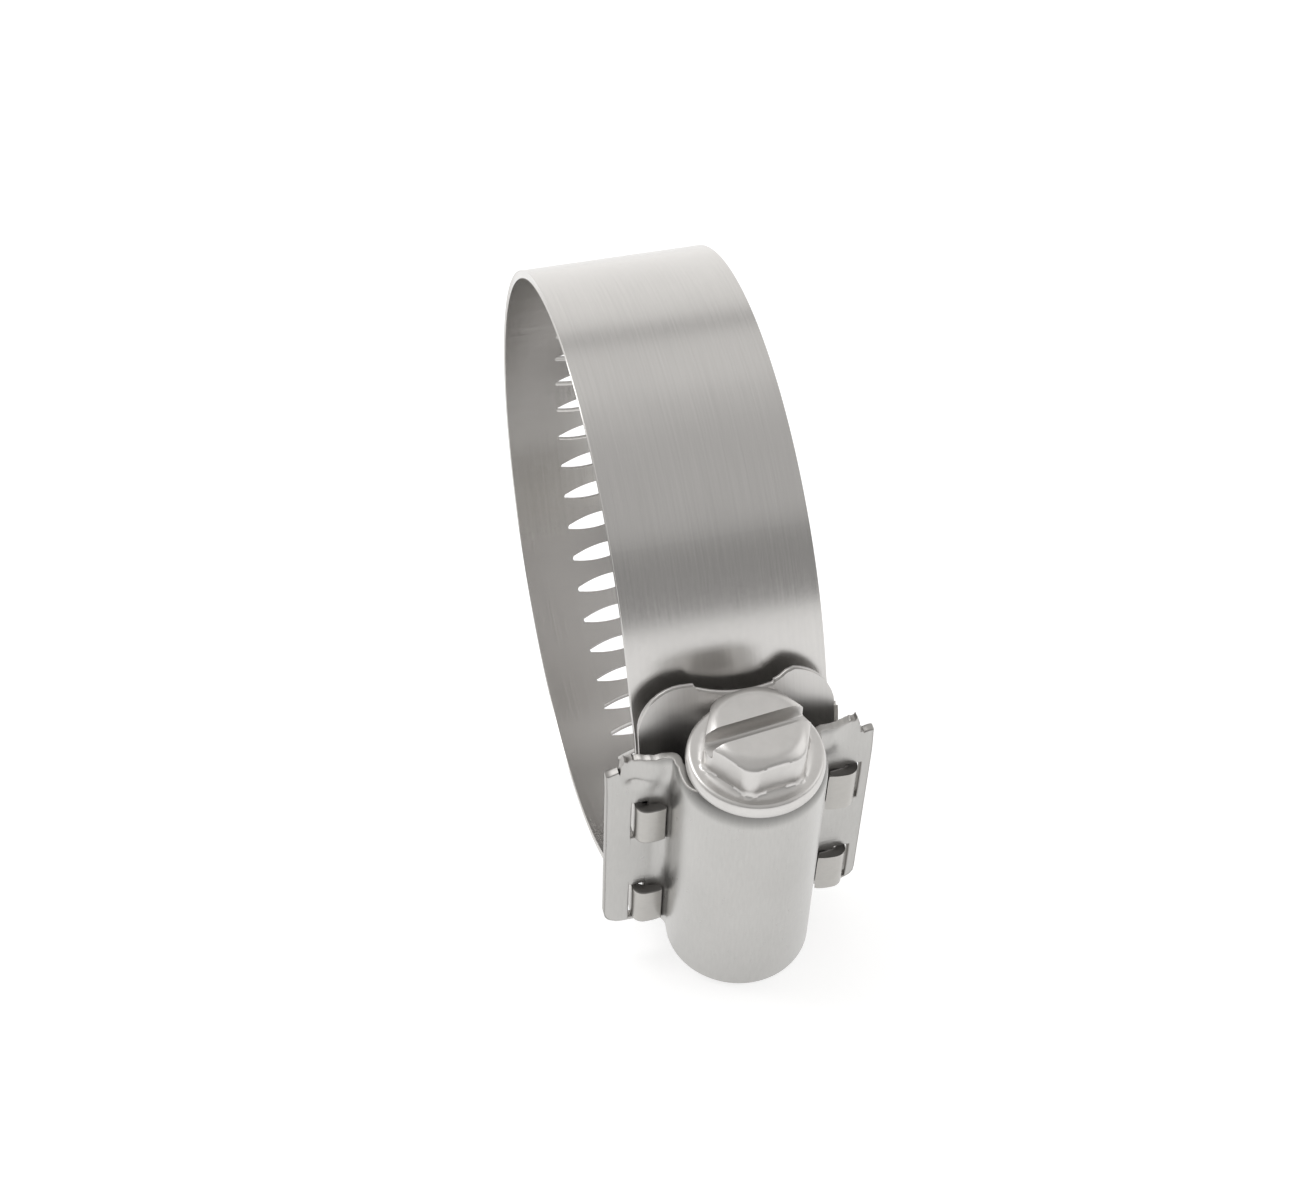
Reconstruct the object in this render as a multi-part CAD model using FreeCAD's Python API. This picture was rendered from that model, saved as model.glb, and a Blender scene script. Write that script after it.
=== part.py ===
"""Worm-drive hose clamp with a 12.7 mm perforated band, drawn open to a 41.9 mm bore.

Everything is first drawn in the housing's own axes: X points outwards from the bore
through the screw, Y runs along the bore, Z runs along the screw towards its head.
The finished shapes are then leaned about Y so that the clamp stands on its band and on
the lower edge of the screw barrel. The origin is the centre of the bore.
"""
import FreeCAD, Part
import math
import os

from FreeCAD import Vector

# Band strip
BAND_WIDTH = 12.7
BAND_THICKNESS = 0.56
BORE_RADIUS = 20.94
SLOT_PITCH = 2.54
SLOT_LENGTH = 5.35
SLOT_WIDTH = 1.42
SLOT_TIP_RADIUS = 0.25
FIRST_SLOT_ANGLE = 143.65
SLOTS_ON_RING = 20

# The tail runs on a slightly larger arc that leaves the bore circle at TANGENT_ANGLE
TAIL_RADIUS_EXTRA = 1.40
TANGENT_ANGLE = -80.0
TAIL_END_ANGLE = 24.6
TAIL_CORNER_RADIUS = 2.9

# Fixed end of the band, which climbs over the saddle
ROOT_END_ANGLE = 0.5
ROOT_STEP_START = 17.3
ROOT_STEP_END = 24.0
ROOT_HINGE_ANGLE = 26.0
BUTTON_RADIUS = 1.25
BUTTON_SPACING = 6.0
BUTTON_ANGLE = 9.0
BUTTON_CLEARANCE = 0.06
BUTTON_SINK = 0.04

# The loop is cut into rigid links of whole slot pitches. One joint, opposite the
# screw, has a wider gap: the links before it hang from the root, those after from the tail
SLOTS_PER_LINK = 3
LINKS_ON_RING = 12
LINK_GAP = 0.06
OPEN_JOINT = 5
OPEN_JOINT_GAP = 0.36

# Saddle
SADDLE_THICKNESS = 0.50
SADDLE_START_ANGLE = -27.0
SADDLE_END_ANGLE = 17.0
SADDLE_HALF_WIDTH = 6.6
LEG_OUTER_Y = 7.47
TAB_TIP_Y = 5.55
TAB_WIDTH = 3.45
TAB_STARTS = (-9.60, -0.35)
TAB_SHIFT_Y = 0.53
TAB_CROWN_RISE = 0.22

# Housing
HOUSING_THICKNESS = 0.56
FLANGE_OUTER_X = 23.24
FLANGE_HALF_WIDTH = 8.87
HOUSING_FOOT_Z = -10.0
FLANGE_HEAD_Z = 6.45
SHOULDER_Z = 7.6
SHOULDER_HALF_WIDTH = 7.9
BARREL_HEAD_Z = 9.05
BARREL_CENTRE_X = 25.10
BARREL_RADIUS = 4.85
BARREL_FOOT_FILLET = 0.4
FOOT_CORNER_RADIUS = 1.3
WINDOW_INNER_Y = 6.65
WINDOW_OUTER_Y = 7.69
WINDOW_CLEARANCE_FOOT = 0.04
WINDOW_CLEARANCE_HEAD = 0.32
BARREL_LIP_HOLE_RADIUS = 2.6
SIDE_TRIM_DROP = 0.45
MOUTH_WIDTH = 5.6
MOUTH_HEIGHT = 1.0
MOUTH_OVERCUT = 0.2

# Worm screw
SCREW_X = 25.75
SCREW_FOOT_Z = -9.38
THREAD_RADIUS = 3.55
CORE_RADIUS = 2.5
THREAD_CREST_WIDTH = 0.75
THREAD_ROOT_WIDTH = 1.35
THREAD_TURNS = 6.5
THREAD_CREST_Z = 0.578
THREAD_SINK = 0.3
COLLAR_RADIUS = 4.35
COLLAR_Z = 9.10
COLLAR_THICKNESS = 1.0
CORE_INTO_COLLAR = 0.2
HEX_ACROSS_FLATS = 6.35
HEX_CORNER_RADIUS = 3.45
HEX_FOOT_HEIGHT = 0.55
HEX_FOOT_RADIUS = 4.10
HEX_FOOT_TOP_RADIUS = 3.25
HEAD_TOP_Z = 12.9
HEAD_CHAMFER = 0.45
DRIVER_SLOT_WIDTH = 1.25
DRIVER_SLOT_DEPTH = 1.3
HEAD_TURN = 7.3

# Film between sheets that lie on each other, and how far a cutter passes a face
SEAT_GAP = 0.02
OVERCUT = 1.0

BAND_OUTER_RADIUS = BORE_RADIUS + BAND_THICKNESS
RING_MID_RADIUS = BORE_RADIUS + BAND_THICKNESS / 2.0
TAIL_RADIUS = BORE_RADIUS + TAIL_RADIUS_EXTRA
TAIL_MID_RADIUS = TAIL_RADIUS + BAND_THICKNESS / 2.0
RING_PITCH_ANGLE = math.degrees(SLOT_PITCH / RING_MID_RADIUS)
TAIL_PITCH_ANGLE = math.degrees(SLOT_PITCH / TAIL_MID_RADIUS)
SLOT_LEAN = math.degrees(math.atan(SLOT_PITCH / (2.0 * math.pi * THREAD_RADIUS)))
FLANGE_INNER_X = FLANGE_OUTER_X - HOUSING_THICKNESS
BARREL_TOP_X = BARREL_CENTRE_X + BARREL_RADIUS

BORE_CENTRE = Vector(0, 0, 0)
TAIL_CENTRE = Vector(
    -TAIL_RADIUS_EXTRA * math.cos(math.radians(TANGENT_ANGLE)),
    0,
    -TAIL_RADIUS_EXTRA * math.sin(math.radians(TANGENT_ANGLE)),
)

# Lean that puts the barrel's lower edge level with the bottom of the band
EDGE_DISTANCE = math.hypot(BARREL_TOP_X, HOUSING_FOOT_Z)
EDGE_ANGLE = math.degrees(math.atan2(HOUSING_FOOT_Z, BARREL_TOP_X))
LEAN = EDGE_ANGLE + math.degrees(math.asin(BAND_OUTER_RADIUS / EDGE_DISTANCE))


def polar(centre, radius, angle):
    """Point at a radius and an angle, in degrees from X towards Z, about a centre."""
    turn = math.radians(angle)
    return centre + Vector(radius * math.cos(turn), 0, radius * math.sin(turn))


def arc(centre, radius, start, end):
    middle = polar(centre, radius, (start + end) / 2.0)
    return Part.Arc(polar(centre, radius, start), middle, polar(centre, radius, end)).toShape()


def line(start, end):
    return Part.LineSegment(start, end).toShape()


def strip(stretches, thickness, y_low, y_high):
    """Sheet that follows a run of arcs, each given as centre, inner radius, start and end."""
    inner = [arc(*stretch) for stretch in stretches]
    outer = [arc(c, r + thickness, a, b) for c, r, a, b in stretches]
    first = stretches[0]
    last = stretches[-1]
    foot = line(polar(first[0], first[1], first[2]), polar(first[0], first[1] + thickness, first[2]))
    tip = line(polar(last[0], last[1], last[3]), polar(last[0], last[1] + thickness, last[3]))
    wire = Part.Wire(Part.__sortEdges__(inner + outer + [foot, tip]))
    sheet = Part.Face(wire).extrude(Vector(0, y_high - y_low, 0))
    sheet.translate(Vector(0, y_low, 0))
    return sheet


def band_strip(stretches):
    return strip(stretches, BAND_THICKNESS, -BAND_WIDTH / 2.0, BAND_WIDTH / 2.0)


def slot_cutter(centre, radius, angle):
    """Leaf-shaped punch, leaning with the worm's helix, that stands on the band."""
    reach = SLOT_LENGTH / 2.0 - SLOT_TIP_RADIUS
    half = SLOT_WIDTH / 2.0
    tip = SLOT_TIP_RADIUS
    edges = [
        Part.Arc(Vector(0, -reach, tip), Vector(0, 0, half), Vector(0, reach, tip)).toShape(),
        Part.Arc(Vector(0, reach, tip), Vector(0, reach + tip, 0), Vector(0, reach, -tip)).toShape(),
        Part.Arc(Vector(0, reach, -tip), Vector(0, 0, -half), Vector(0, -reach, -tip)).toShape(),
        Part.Arc(Vector(0, -reach, -tip), Vector(0, -reach - tip, 0), Vector(0, -reach, tip)).toShape(),
    ]
    punch = Part.Face(Part.Wire(edges)).extrude(Vector(4.0 * BAND_THICKNESS, 0, 0))
    punch.translate(Vector(-2.0 * BAND_THICKNESS, 0, 0))
    punch.rotate(Vector(0, 0, 0), Vector(1, 0, 0), -SLOT_LEAN)
    punch.translate(Vector(radius, 0, 0))
    punch.rotate(Vector(0, 0, 0), Vector(0, -1, 0), angle)
    punch.translate(centre)
    return punch


def slot_places():
    """Centre, radius and angle of every slot, at one pitch along the band's middle."""
    places = []
    ring_end = TANGENT_ANGLE + 360.0
    angle = FIRST_SLOT_ANGLE
    while angle < ring_end:
        places.append((BORE_CENTRE, RING_MID_RADIUS, angle))
        angle += RING_PITCH_ANGLE
    angle = TANGENT_ANGLE + (angle - ring_end) * RING_MID_RADIUS / TAIL_MID_RADIUS
    while angle < TAIL_END_ANGLE:
        places.append((TAIL_CENTRE, TAIL_MID_RADIUS, angle))
        angle += TAIL_PITCH_ANGLE
    return places


def between_slots(number):
    """Place on the band midway between slot number - 1 and slot number."""
    centre, radius, angle = SLOTS[number]
    pitch = RING_PITCH_ANGLE if centre is BORE_CENTRE else TAIL_PITCH_ANGLE
    return centre, radius, angle - pitch / 2.0


def punch_slots(sheet, numbers):
    for number in numbers:
        sheet = sheet.cut(slot_cutter(*SLOTS[number]))
    return sheet


SLOTS = slot_places()
LINK_ANGLE = SLOTS_PER_LINK * RING_PITCH_ANGLE


def ring_hinge_angles():
    """Hinge places on the bore circle, from the fixed end round to the last ring link."""
    last = FIRST_SLOT_ANGLE + RING_PITCH_ANGLE * (SLOTS_ON_RING - 2.5)
    angles = [last - LINK_ANGLE * step for step in range(LINKS_ON_RING)]
    angles.reverse()
    return [ROOT_HINGE_ANGLE] + angles


def half_gap_angle(joint, radius):
    """Half the gap at a joint, in degrees, where joint 0 is next to the fixed end."""
    gap = OPEN_JOINT_GAP if joint == OPEN_JOINT else LINK_GAP
    return math.degrees(gap / 2.0 / radius)


def make_band_root():
    """Fixed end: a plain stretch that steps up over the saddle, with two holes."""
    high = BORE_RADIUS + SADDLE_THICKNESS + SEAT_GAP
    low_end = ROOT_HINGE_ANGLE - half_gap_angle(0, RING_MID_RADIUS)
    edges = []
    for offset in (0.0, BAND_THICKNESS):
        step_top = polar(BORE_CENTRE, high + offset, ROOT_STEP_START)
        step_foot = polar(BORE_CENTRE, BORE_RADIUS + offset, ROOT_STEP_END)
        edges.append(arc(BORE_CENTRE, high + offset, ROOT_END_ANGLE, ROOT_STEP_START))
        edges.append(line(step_top, step_foot))
        edges.append(arc(BORE_CENTRE, BORE_RADIUS + offset, ROOT_STEP_END, low_end))
    for radius, angle in ((high, ROOT_END_ANGLE), (BORE_RADIUS, low_end)):
        inside = polar(BORE_CENTRE, radius, angle)
        outside = polar(BORE_CENTRE, radius + BAND_THICKNESS, angle)
        edges.append(line(inside, outside))
    wire = Part.Wire(Part.__sortEdges__(edges))
    sheet = Part.Face(wire).extrude(Vector(0, BAND_WIDTH, 0))
    sheet.translate(Vector(0, -BAND_WIDTH / 2.0, 0))
    for button in saddle_buttons(BUTTON_RADIUS + BUTTON_CLEARANCE, 3.0 * BAND_THICKNESS):
        sheet = sheet.cut(button)
    return sheet


def make_ring_link(number, start, end, slots):
    """Link between joints number and number + 1 of the bore circle."""
    first = start + half_gap_angle(number, RING_MID_RADIUS)
    last = end - half_gap_angle(number + 1, RING_MID_RADIUS)
    sheet = band_strip([(BORE_CENTRE, BORE_RADIUS, first, last)])
    return punch_slots(sheet, slots)


def make_turn_link(number, start, slots):
    """Link that crosses from the bore circle to the tail's larger arc."""
    first = start + half_gap_angle(number, RING_MID_RADIUS)
    last = between_slots(slots[-1] + 1)[2] - half_gap_angle(number + 1, TAIL_MID_RADIUS)
    sheet = band_strip(
        [
            (BORE_CENTRE, BORE_RADIUS, first, TANGENT_ANGLE + 360.0),
            (TAIL_CENTRE, TAIL_RADIUS, TANGENT_ANGLE, last),
        ]
    )
    return punch_slots(sheet, slots)


def corner_cutter(side):
    """Removes one square corner at the tail's end and leaves a round one."""
    size = TAIL_CORNER_RADIUS
    block = Part.makeBox(8.0, 2.0 * size, 2.0 * size, Vector(-4.0, 0, 0))
    round_part = Part.makeCylinder(size, 8.0, Vector(-4.0, 0, 0), Vector(1, 0, 0))
    cutter = block.cut(round_part)
    if side < 0:
        cutter = cutter.mirror(Vector(0, 0, 0), Vector(0, 1, 0))
    cutter.translate(Vector(TAIL_MID_RADIUS, side * (BAND_WIDTH / 2.0 - size), 0))
    back_angle = math.degrees(size / TAIL_MID_RADIUS)
    cutter.rotate(Vector(0, 0, 0), Vector(0, -1, 0), TAIL_END_ANGLE - back_angle)
    cutter.translate(TAIL_CENTRE)
    return cutter


def make_band_tail(number, slots):
    """Rigid stretch that the worm draws through the housing, with its free end."""
    start = between_slots(slots[0])[2] + half_gap_angle(number, TAIL_MID_RADIUS)
    sheet = band_strip([(TAIL_CENTRE, TAIL_RADIUS, start, TAIL_END_ANGLE)])
    sheet = punch_slots(sheet, slots)
    for side in (-1, 1):
        sheet = sheet.cut(corner_cutter(side))
    return sheet


def saddle_buttons(radius, height):
    """Round studs that stand on the saddle and hold the band's fixed end."""
    buttons = []
    axis = polar(BORE_CENTRE, 1.0, BUTTON_ANGLE)
    middle = polar(BORE_CENTRE, BORE_RADIUS + SADDLE_THICKNESS / 2.0, BUTTON_ANGLE)
    for side in (-1, 1):
        base = middle + Vector(0, side * BUTTON_SPACING / 2.0, 0)
        buttons.append(Part.makeCylinder(radius, SADDLE_THICKNESS / 2.0 + height, base, axis))
    return buttons


def tab_profile():
    """Section of one leg and its folded tab, drawn for the +Y side."""
    leg = LEG_OUTER_Y
    tip = TAB_TIP_Y
    thick = SADDLE_THICKNESS
    seat = FLANGE_OUTER_X + SEAT_GAP
    crown = seat + thick + TAB_CROWN_RISE
    crown_y = (leg + tip) / 2.0 + 0.15
    points = {
        "leg_out": Vector(seat - 0.10, leg, 0),
        "bend_out": Vector(crown - 0.26, leg - 0.22, 0),
        "crown_out": Vector(crown, crown_y, 0),
        "slope_out": Vector(crown - 0.05, (crown_y + tip) / 2.0, 0),
        "tip_out": Vector(seat + thick, tip, 0),
        "tip_in": Vector(seat, tip, 0),
        "slope_in": Vector(seat + 0.16, (crown_y + tip) / 2.0, 0),
        "crown_in": Vector(seat + 0.21, crown_y, 0),
        "bend_in": Vector(seat + 0.09, leg - thick - 0.08, 0),
        "leg_in": Vector(seat - 0.10, leg - thick, 0),
    }
    root_x = BORE_RADIUS * math.cos(math.radians(SADDLE_START_ANGLE)) - 1.0
    foot_out = Vector(root_x, leg, 0)
    foot_in = Vector(root_x, leg - thick, 0)
    edges = [
        line(foot_out, points["leg_out"]),
        Part.Arc(points["leg_out"], points["bend_out"], points["crown_out"]).toShape(),
        Part.Arc(points["crown_out"], points["slope_out"], points["tip_out"]).toShape(),
        line(points["tip_out"], points["tip_in"]),
        Part.Arc(points["tip_in"], points["slope_in"], points["crown_in"]).toShape(),
        Part.Arc(points["crown_in"], points["bend_in"], points["leg_in"]).toShape(),
        line(points["leg_in"], foot_in),
        line(foot_in, foot_out),
    ]
    return Part.Face(Part.Wire(edges))


def bore_core():
    return Part.makeCylinder(BORE_RADIUS, 40.0, Vector(0, -20.0, 0), Vector(0, 1, 0))


def make_saddle():
    """Curved plate under the band with four legs folded over the housing's flanges."""
    plate = strip(
        [(BORE_CENTRE, BORE_RADIUS, SADDLE_START_ANGLE, SADDLE_END_ANGLE)],
        SADDLE_THICKNESS,
        -SADDLE_HALF_WIDTH,
        SADDLE_HALF_WIDTH,
    )
    wide = strip(
        [(BORE_CENTRE, BORE_RADIUS, SADDLE_START_ANGLE, SADDLE_END_ANGLE)],
        SADDLE_THICKNESS,
        -LEG_OUTER_Y,
        LEG_OUTER_Y,
    )
    core = bore_core()
    for start in TAB_STARTS:
        slab = Part.makeBox(60.0, 40.0, TAB_WIDTH, Vector(0, -20.0, start))
        plate = plate.fuse(wide.common(slab))
        leg = tab_profile().extrude(Vector(0, 0, TAB_WIDTH))
        leg.translate(Vector(0, 0, start))
        leg = leg.cut(core)
        plate = plate.fuse(leg)
        plate = plate.fuse(leg.mirror(Vector(0, 0, 0), Vector(0, 1, 0)))
    plate.translate(Vector(0, TAB_SHIFT_Y, 0))
    for button in saddle_buttons(BUTTON_RADIUS, BAND_THICKNESS - BUTTON_SINK):
        plate = plate.fuse(button)
    return plate.removeSplitter()


def head_end_trim():
    """Plan shape of what is sheared off both flanges at the head end."""
    far = FLANGE_HALF_WIDTH + OVERCUT
    top = BARREL_HEAD_Z + OVERCUT
    near = BARREL_RADIUS + 0.05
    corners = [
        (near, top),
        (near, BARREL_HEAD_Z - SIDE_TRIM_DROP),
        (SHOULDER_HALF_WIDTH, SHOULDER_Z),
        (SHOULDER_HALF_WIDTH, FLANGE_HEAD_Z),
        (far, FLANGE_HEAD_Z),
        (far, top),
        (near, top),
    ]
    outline = Part.makePolygon([Vector(FLANGE_INNER_X - OVERCUT, y, z) for y, z in corners])
    return Part.Face(outline).extrude(Vector(4.0, 0, 0))


def windows():
    cutters = []
    height = TAB_WIDTH + WINDOW_CLEARANCE_FOOT + WINDOW_CLEARANCE_HEAD
    width = WINDOW_OUTER_Y - WINDOW_INNER_Y
    for start in TAB_STARTS:
        for low_y in (WINDOW_INNER_Y, -WINDOW_OUTER_Y):
            corner = Vector(FLANGE_INNER_X - OVERCUT, low_y + TAB_SHIFT_Y, start - WINDOW_CLEARANCE_FOOT)
            cutters.append(Part.makeBox(3.0, width, height, corner))
    return cutters


def is_barrel_foot(edge):
    """True for the long inner corners where the flange plate meets the barrel."""
    box = edge.BoundBox
    is_long = box.ZLength > 10.0
    is_low = abs(box.XMin - FLANGE_OUTER_X) < 0.01 and abs(box.XMax - FLANGE_OUTER_X) < 0.01
    return is_long and is_low and abs(box.YMax) < BARREL_RADIUS


def make_housing():
    """Stamped sheet: an arched barrel for the screw between two flat flanges."""
    length = BARREL_HEAD_Z - HOUSING_FOOT_Z
    foot = Vector(FLANGE_INNER_X, -FLANGE_HALF_WIDTH, HOUSING_FOOT_Z)
    plate = Part.makeBox(HOUSING_THICKNESS, 2.0 * FLANGE_HALF_WIDTH, length, foot)
    axis_foot = Vector(BARREL_CENTRE_X, 0, HOUSING_FOOT_Z)
    barrel = Part.makeCylinder(BARREL_RADIUS, length, axis_foot)
    below = Part.makeBox(40.0, 40.0, 40.0, Vector(FLANGE_INNER_X - 40.0, -20.0, -20.0))
    shell = plate.fuse(barrel.cut(below)).removeSplitter()
    feet = [edge for edge in shell.Edges if is_barrel_foot(edge)]
    shell = shell.makeFillet(BARREL_FOOT_FILLET, feet)
    inner_radius = BARREL_RADIUS - HOUSING_THICKNESS
    bore_length = length - HOUSING_THICKNESS + OVERCUT
    bore_foot = Vector(BARREL_CENTRE_X, 0, HOUSING_FOOT_Z + HOUSING_THICKNESS)
    bore = Part.makeCylinder(inner_radius, bore_length, bore_foot)
    shell = shell.cut(bore)
    lip_foot = Vector(SCREW_X, 0, HOUSING_FOOT_Z - OVERCUT)
    lip_hole = Part.makeCylinder(BARREL_LIP_HOLE_RADIUS, 3.0 * OVERCUT, lip_foot)
    shell = shell.cut(lip_hole)
    mouth_corner = Vector(FLANGE_INNER_X - MOUTH_OVERCUT, -MOUTH_WIDTH / 2.0, HOUSING_FOOT_Z - OVERCUT)
    mouth = Part.makeBox(MOUTH_HEIGHT + MOUTH_OVERCUT, MOUTH_WIDTH, 3.0 * OVERCUT, mouth_corner)
    shell = shell.cut(mouth)
    trim = head_end_trim()
    shell = shell.cut(trim)
    shell = shell.cut(trim.mirror(Vector(0, 0, 0), Vector(0, 1, 0)))
    for window in windows():
        shell = shell.cut(window)
    corners = [edge for edge in shell.Edges if is_foot_corner(edge)]
    return shell.makeFillet(FOOT_CORNER_RADIUS, corners)


def is_foot_corner(edge):
    box = edge.BoundBox
    at_foot = abs(box.ZMin - HOUSING_FOOT_Z) < 0.01 and box.ZLength < 0.01
    at_side = abs(abs(box.YMin) - FLANGE_HALF_WIDTH) < 0.01 and box.YLength < 0.01
    return at_foot and at_side


def make_thread():
    """Right-handed worm thread whose crest meets the band at THREAD_CREST_Z."""
    height = THREAD_TURNS * SLOT_PITCH
    half_turns_down = int(THREAD_TURNS / 2.0)
    start_z = THREAD_CREST_Z - half_turns_down * SLOT_PITCH
    helix = Part.makeHelix(SLOT_PITCH, height, CORE_RADIUS)
    root = THREAD_ROOT_WIDTH / 2.0
    crest = THREAD_CREST_WIDTH / 2.0
    inside = CORE_RADIUS - THREAD_SINK
    profile = Part.makePolygon(
        [
            Vector(inside, 0, -root),
            Vector(THREAD_RADIUS, 0, -crest),
            Vector(THREAD_RADIUS, 0, crest),
            Vector(inside, 0, root),
            Vector(inside, 0, -root),
        ]
    )
    thread = Part.Wire(helix).makePipeShell([profile], True, True)
    thread.rotate(Vector(0, 0, 0), Vector(0, 0, 1), 180.0)
    thread.translate(Vector(SCREW_X, 0, start_z))
    return thread


def hexagon(across_flats, height, base):
    """Hexagonal prism with two of its corners on the Y axis."""
    corner = across_flats / math.sqrt(3.0)
    points = []
    for number in range(7):
        turn = math.radians(30.0 + 60.0 * number)
        points.append(Vector(corner * math.cos(turn), corner * math.sin(turn), 0))
    prism = Part.Face(Part.makePolygon(points)).extrude(Vector(0, 0, height))
    prism.translate(base)
    return prism


def make_head():
    """Collar, rounded-corner hexagon with a chamfered top, and the driver slot."""
    collar_top = COLLAR_Z + COLLAR_THICKNESS
    axis = Vector(SCREW_X, 0, 0)
    collar = Part.makeCylinder(COLLAR_RADIUS, COLLAR_THICKNESS, axis + Vector(0, 0, COLLAR_Z))
    hex_base = axis + Vector(0, 0, collar_top)
    foot = Part.makeCone(HEX_FOOT_RADIUS, HEX_FOOT_TOP_RADIUS, HEX_FOOT_HEIGHT, hex_base)
    prism = hexagon(HEX_ACROSS_FLATS, HEAD_TOP_Z - collar_top, hex_base)
    straight = HEAD_TOP_Z - HEAD_CHAMFER - collar_top
    envelope = Part.makeCylinder(HEX_CORNER_RADIUS, straight, hex_base)
    cone_base = axis + Vector(0, 0, HEAD_TOP_Z - HEAD_CHAMFER)
    crown_radius = HEX_CORNER_RADIUS - 2.0 * HEAD_CHAMFER
    envelope = envelope.fuse(Part.makeCone(HEX_CORNER_RADIUS, crown_radius, HEAD_CHAMFER, cone_base))
    head = collar.fuse(foot).fuse(prism.common(envelope))
    slot_base = Vector(SCREW_X - DRIVER_SLOT_WIDTH / 2.0, -10.0, HEAD_TOP_Z - DRIVER_SLOT_DEPTH)
    slot = Part.makeBox(DRIVER_SLOT_WIDTH, 20.0, DRIVER_SLOT_DEPTH + OVERCUT, slot_base)
    head = head.cut(slot)
    head.rotate(Vector(SCREW_X, 0, 0), Vector(0, 0, 1), HEAD_TURN)
    return head


def make_worm_screw():
    core_length = COLLAR_Z - SCREW_FOOT_Z + CORE_INTO_COLLAR
    foot = Vector(SCREW_X, 0, SCREW_FOOT_Z)
    core = Part.makeCylinder(CORE_RADIUS, core_length, foot)
    return core.fuse(make_thread()).fuse(make_head()).removeSplitter()


def build_parts():
    parts = {
        "housing": make_housing(),
        "saddle": make_saddle(),
        "worm_screw": make_worm_screw(),
        "band_root": make_band_root(),
    }
    hinges = ring_hinge_angles()
    for number in range(LINKS_ON_RING):
        start = hinges[number]
        end = hinges[number + 1]
        inside = [slot for slot in range(SLOTS_ON_RING) if start < SLOTS[slot][2] < end]
        parts["band_link_%02d" % (number + 1)] = make_ring_link(number, start, end, inside)
    turn_slot = SLOTS_ON_RING - 2
    tail_slot = turn_slot + SLOTS_PER_LINK
    turn_slots = range(turn_slot, tail_slot)
    parts["band_link_%02d" % (LINKS_ON_RING + 1)] = make_turn_link(LINKS_ON_RING, hinges[-1], turn_slots)
    parts["band_tail"] = make_band_tail(LINKS_ON_RING + 1, range(tail_slot, len(SLOTS)))
    return parts


def main():
    os.makedirs("parts", exist_ok=True)
    for name, shape in build_parts().items():
        shape.rotate(Vector(0, 0, 0), Vector(0, 1, 0), LEAN)
        state = "valid" if shape.isValid() else "INVALID"
        print(name, len(shape.Solids), "solid", state, round(shape.Volume, 3), "mm3")
        shape.exportStep("parts/%s.step" % name)


main()
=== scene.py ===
"""Looks of the worm-drive hose clamp: formed sheet, rounded edges and satin steel.

Shapes are worked out in millimetres in the housing's own axes: n points outwards from the
bore through the screw, y runs along the bore, s runs along the screw towards its head.
in_frame() leans them into the shared frame and turns them into metres.
"""

import math

import bpy
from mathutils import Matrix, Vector
from mathutils.geometry import interpolate_bezier


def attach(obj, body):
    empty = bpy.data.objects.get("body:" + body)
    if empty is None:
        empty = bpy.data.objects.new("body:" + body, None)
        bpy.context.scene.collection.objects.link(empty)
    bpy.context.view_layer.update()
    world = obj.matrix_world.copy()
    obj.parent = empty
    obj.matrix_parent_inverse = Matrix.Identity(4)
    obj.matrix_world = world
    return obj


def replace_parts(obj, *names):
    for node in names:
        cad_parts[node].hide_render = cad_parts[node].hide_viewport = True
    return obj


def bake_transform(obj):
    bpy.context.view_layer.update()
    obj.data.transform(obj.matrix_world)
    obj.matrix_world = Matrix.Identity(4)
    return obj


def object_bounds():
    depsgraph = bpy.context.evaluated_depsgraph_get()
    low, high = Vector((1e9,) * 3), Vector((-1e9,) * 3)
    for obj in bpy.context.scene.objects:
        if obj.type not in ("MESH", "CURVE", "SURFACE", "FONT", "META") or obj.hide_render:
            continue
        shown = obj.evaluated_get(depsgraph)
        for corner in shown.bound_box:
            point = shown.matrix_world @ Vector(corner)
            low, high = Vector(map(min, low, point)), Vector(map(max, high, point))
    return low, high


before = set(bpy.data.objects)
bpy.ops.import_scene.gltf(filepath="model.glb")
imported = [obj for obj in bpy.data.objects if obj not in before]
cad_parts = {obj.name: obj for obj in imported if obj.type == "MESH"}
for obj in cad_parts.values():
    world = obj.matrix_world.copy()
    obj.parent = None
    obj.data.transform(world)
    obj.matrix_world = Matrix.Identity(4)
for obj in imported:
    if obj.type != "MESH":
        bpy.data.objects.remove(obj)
CAD_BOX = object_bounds()

MM = 0.001

# Band strip
BAND_WIDTH = 12.7
BAND_THICKNESS = 0.56
BORE_RADIUS = 20.94
RING_MID = BORE_RADIUS + BAND_THICKNESS / 2
SLOT_PITCH = 2.54
SLOT_LENGTH = 5.35
SLOT_HALF_WIDTH = 0.71
SLOT_TIP_RADIUS = 0.32
SLOT_LEAN = math.atan(SLOT_PITCH / (2 * math.pi * 3.55))
FIRST_SLOT_ANGLE = 143.65
TAIL_RADIUS_EXTRA = 1.40
TANGENT_ANGLE = -80.0
TAIL_END_ANGLE = 24.6
TAIL_CORNER_RADIUS = 2.9
TAIL_MID = RING_MID + TAIL_RADIUS_EXTRA
TAIL_CENTRE = (
    -TAIL_RADIUS_EXTRA * math.cos(math.radians(TANGENT_ANGLE)),
    -TAIL_RADIUS_EXTRA * math.sin(math.radians(TANGENT_ANGLE)),
)
ROOT_END_ANGLE = 0.5
ROOT_STEP_START = 17.3
ROOT_STEP_END = 24.0
ROOT_STEP_HEIGHT = 0.52
ROOT_HINGE_ANGLE = 26.0
SLOTS_ON_RING = 20
SLOTS_PER_LINK = 3
LINKS_ON_RING = 12
OPEN_JOINT = 5
BAND_EDGE_RADIUS = 0.10

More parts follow.
